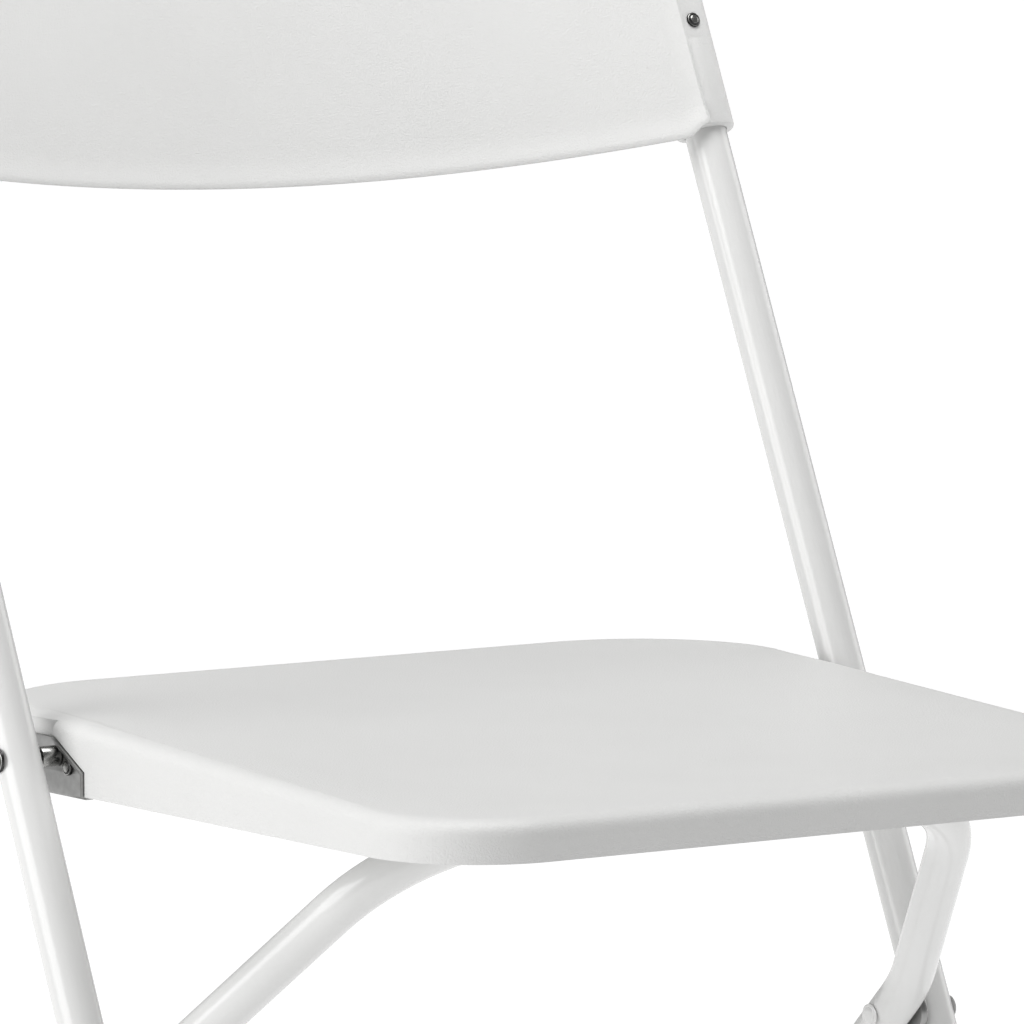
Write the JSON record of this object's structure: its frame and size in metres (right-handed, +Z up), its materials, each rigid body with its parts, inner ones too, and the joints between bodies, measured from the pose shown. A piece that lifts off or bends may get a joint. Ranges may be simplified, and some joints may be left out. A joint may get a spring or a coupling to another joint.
{
  "type": "folding chair",
  "caption": "Folding chair with a moulded plastic seat and curved back on a scissor frame of round steel tube; the seat flips up as the rear legs fold flat.",
  "frame": {"origin": "bottom centre of the open chair's bounding box, on the floor between the feet", "axes": "+Z up, -Y towards the front of the seat, +X to the sitter's left"},
  "size_m": [0.457, 0.5456, 0.8444],
  "materials": {
    "white_steel": "white powder coat on steel tube, glossy",
    "white_plastic": "white moulded polypropylene with a fine pebble grain",
    "zinc_steel": "zinc-plated steel",
    "nylon": "natural white nylon",
    "foot_plastic": "white moulded foot cap"
  },
  "bodies": {
    "back_frame": {"back_panel": "white_plastic", "front_leg_tube_left": "white_steel", "front_leg_tube_right": "white_steel", "front_brace": "white_steel", "front_brace_rivet_left": "zinc_steel", "front_brace_rivet_right": "zinc_steel", "front_foot_left": "foot_plastic", "front_foot_right": "foot_plastic", "back_rivet_lower_left": "zinc_steel", "back_rivet_lower_right": "zinc_steel", "back_rivet_upper_left": "zinc_steel", "back_rivet_upper_right": "zinc_steel", "scissor_washer_left": "nylon", "scissor_washer_right": "nylon", "scissor_rivet_left": "zinc_steel", "scissor_rivet_right": "zinc_steel", "seat_pivot_rivet_left": "zinc_steel", "seat_pivot_rivet_right": "zinc_steel", "seat_spacer_left": "nylon", "seat_spacer_right": "nylon"},
    "rear_legs": {"rear_leg_hoop": "white_steel", "rear_brace": "white_steel", "rear_brace_rivet_left": "zinc_steel", "rear_brace_rivet_right": "zinc_steel", "rear_foot_left": "foot_plastic", "rear_foot_right": "foot_plastic"},
    "seat": {"seat_shell": "white_plastic", "hinge_bracket_left": "zinc_steel", "hinge_bracket_right": "zinc_steel", "crossbar_saddle_left": "nylon", "crossbar_saddle_right": "nylon", "bracket_rivet_front_left": "zinc_steel", "bracket_rivet_front_right": "zinc_steel", "bracket_rivet_rear_left": "zinc_steel", "bracket_rivet_rear_right": "zinc_steel"}
  },
  "joints": [
    {"name": "rear_leg_fold", "type": "hinge", "parent": "back_frame", "child": "rear_legs", "pos_m": [0, -0.04679, 0.291], "axis": [-1, 0, 0], "range_deg": [0, 65.4]},
    {"name": "seat_fold", "type": "hinge", "parent": "back_frame", "child": "seat", "pos_m": [0, 0.01498, 0.427], "axis": [-1, 0, 0], "range_deg": [0, 110.4]}
  ],
  "couplings": [
    {"joint": "seat_fold", "follows": "rear_leg_fold", "ratio": 1.688}
  ]
}
